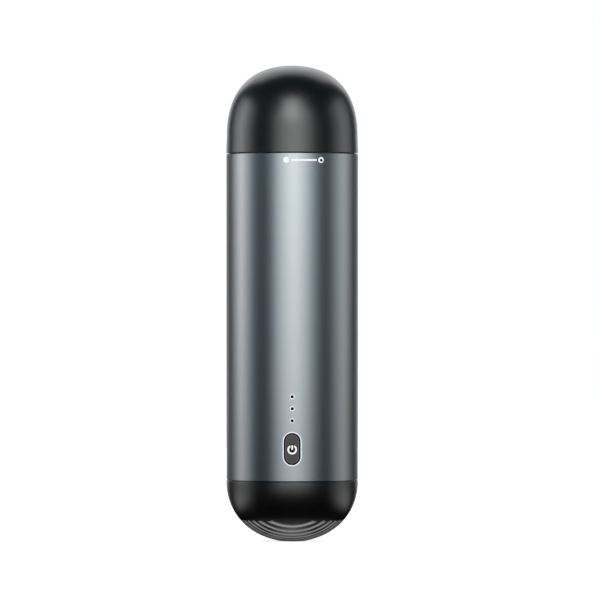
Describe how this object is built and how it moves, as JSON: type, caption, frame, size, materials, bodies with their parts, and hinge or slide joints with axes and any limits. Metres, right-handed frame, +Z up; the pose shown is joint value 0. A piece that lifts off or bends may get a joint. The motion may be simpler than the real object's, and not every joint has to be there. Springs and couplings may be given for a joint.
{
  "type": "handheld vacuum cleaner",
  "caption": "Capsule-shaped cordless handheld vacuum cleaner: satin metal tube, domed black caps, push button, charge lights, twist-lock dust cup under a pull-off nozzle cap.",
  "frame": {"origin": "centre of the foot pad's face, on the surface that it stands on", "axes": "+Z up along the tube to the nozzle cap, -Y to the front with the power button, +X to the button's right"},
  "size_m": [0.0656, 0.0656, 0.2362],
  "materials": {
    "tube_metal": "satin anodised, fine vertical grain",
    "shell_black": "satin black, very fine texture",
    "button_grey": "satin dark grey",
    "mark_white": "printed white",
    "lens_smoke": "smoked clear plastic, unlit",
    "foot_rubber": "matt black rubber",
    "seal_rubber": "matt dark grey rubber",
    "foam_grey": "open-cell foam",
    "cup_smoke": "clear smoked plastic",
    "frame_grey": "moulded grey plastic",
    "flap_rubber": "soft dark grey flap",
    "filter_paper": "pleated filter paper",
    "cage_steel": "thin perforated steel",
    "pin_steel": "bright drawn steel",
    "screw_steel": "zinc plated",
    "fan_nylon": "moulded white nylon",
    "motor_steel": "zinc plated deep-drawn steel",
    "bell_plastic": "moulded black plastic",
    "bronze": "sintered bronze",
    "magnet_grey": "ferrite",
    "lamination": "stacked steel sheets",
    "copper": "enamelled copper",
    "carbon": "carbon",
    "cell_sleeve": null,
    "nickel": "nickel strip",
    "board_green": "coated circuit board",
    "chip_black": "moulded black packages",
    "light_white": "surface-mount lamp",
    "port_steel": "drawn steel",
    "lead_sleeve": "sleeved lead"
  },
  "bodies": {
    "housing": {"body_tube": "tube_metal", "lock_marks": "mark_white", "tail_cap": "shell_black", "foot_pad": "foot_rubber", "exhaust_foam": "foam_grey", "neck_collar": "frame_grey", "fan_housing": "frame_grey", "diffuser": "frame_grey", "motor_mount": "frame_grey", "motor_screws": "screw_steel", "motor_can": "motor_steel", "motor_end_bell": "bell_plastic", "motor_magnets": "magnet_grey", "motor_brushes": "carbon", "motor_terminals": "bronze", "motor_damper": "seal_rubber", "bearing_upper": "bronze", "bearing_lower": "bronze", "battery_cradle": "bell_plastic", "battery_cell_left": "cell_sleeve", "battery_cell_right": "cell_sleeve", "cell_tabs": "nickel", "control_board": "board_green", "board_screws": "screw_steel", "board_chips": "chip_black", "tact_switch": "chip_black", "indicator_lights": "light_white", "light_pipes": "lens_smoke", "charge_board": "board_green", "charge_board_screws": "screw_steel", "port_shell": "port_steel", "port_tongue": "chip_black", "port_bezel": "shell_black", "motor_leads": "lead_sleeve", "battery_leads": "lead_sleeve"},
    "dust_cup": {"dust_cup": "cup_smoke", "grip_ring": "seal_rubber", "nozzle_mouth": "frame_grey", "flap_pin": "pin_steel", "filter_gasket": "seal_rubber", "filter_frame": "frame_grey", "filter_pleats": "filter_paper", "filter_cage": "cage_steel"},
    "inlet_flap": {"inlet_flap": "flap_rubber"},
    "nozzle_cap": {"nozzle_cap": "shell_black"},
    "power_button": {"power_button": "button_grey", "power_symbol": "mark_white", "switch_plunger": "bell_plastic"},
    "fan_rotor": {"impeller": "fan_nylon", "motor_shaft": "pin_steel", "armature_core": "lamination", "armature_windings": "copper", "commutator": "bronze"}
  },
  "joints": [
    {"name": "cup_twist", "type": "hinge", "parent": "housing", "child": "dust_cup", "pos_m": [0, 0, 0.1918], "axis": [0, 0, 1], "range_deg": [0, 31]},
    {"name": "cap_lift", "type": "slide", "parent": "dust_cup", "child": "nozzle_cap", "axis": [0, 0, 1], "range_m": [0, 0.06]},
    {"name": "flap_swing", "type": "hinge", "parent": "dust_cup", "child": "inlet_flap", "pos_m": [0, 0.0102, 0.2101], "axis": [1, 0, 0], "range_deg": [0, 55], "stiffness_Nm_per_rad": 0.0006, "springref_deg": -20.05},
    {"name": "button_press", "type": "slide", "parent": "housing", "child": "power_button", "axis": [0, 1, 0], "range_m": [0, 0.0005], "stiffness_N_per_m": 2500, "springref_m": -0.0002},
    {"name": "fan_spin", "type": "hinge", "parent": "housing", "child": "fan_rotor", "pos_m": [0, 0, 0.15], "axis": [0, 0, 1], "continuous": true}
  ]
}
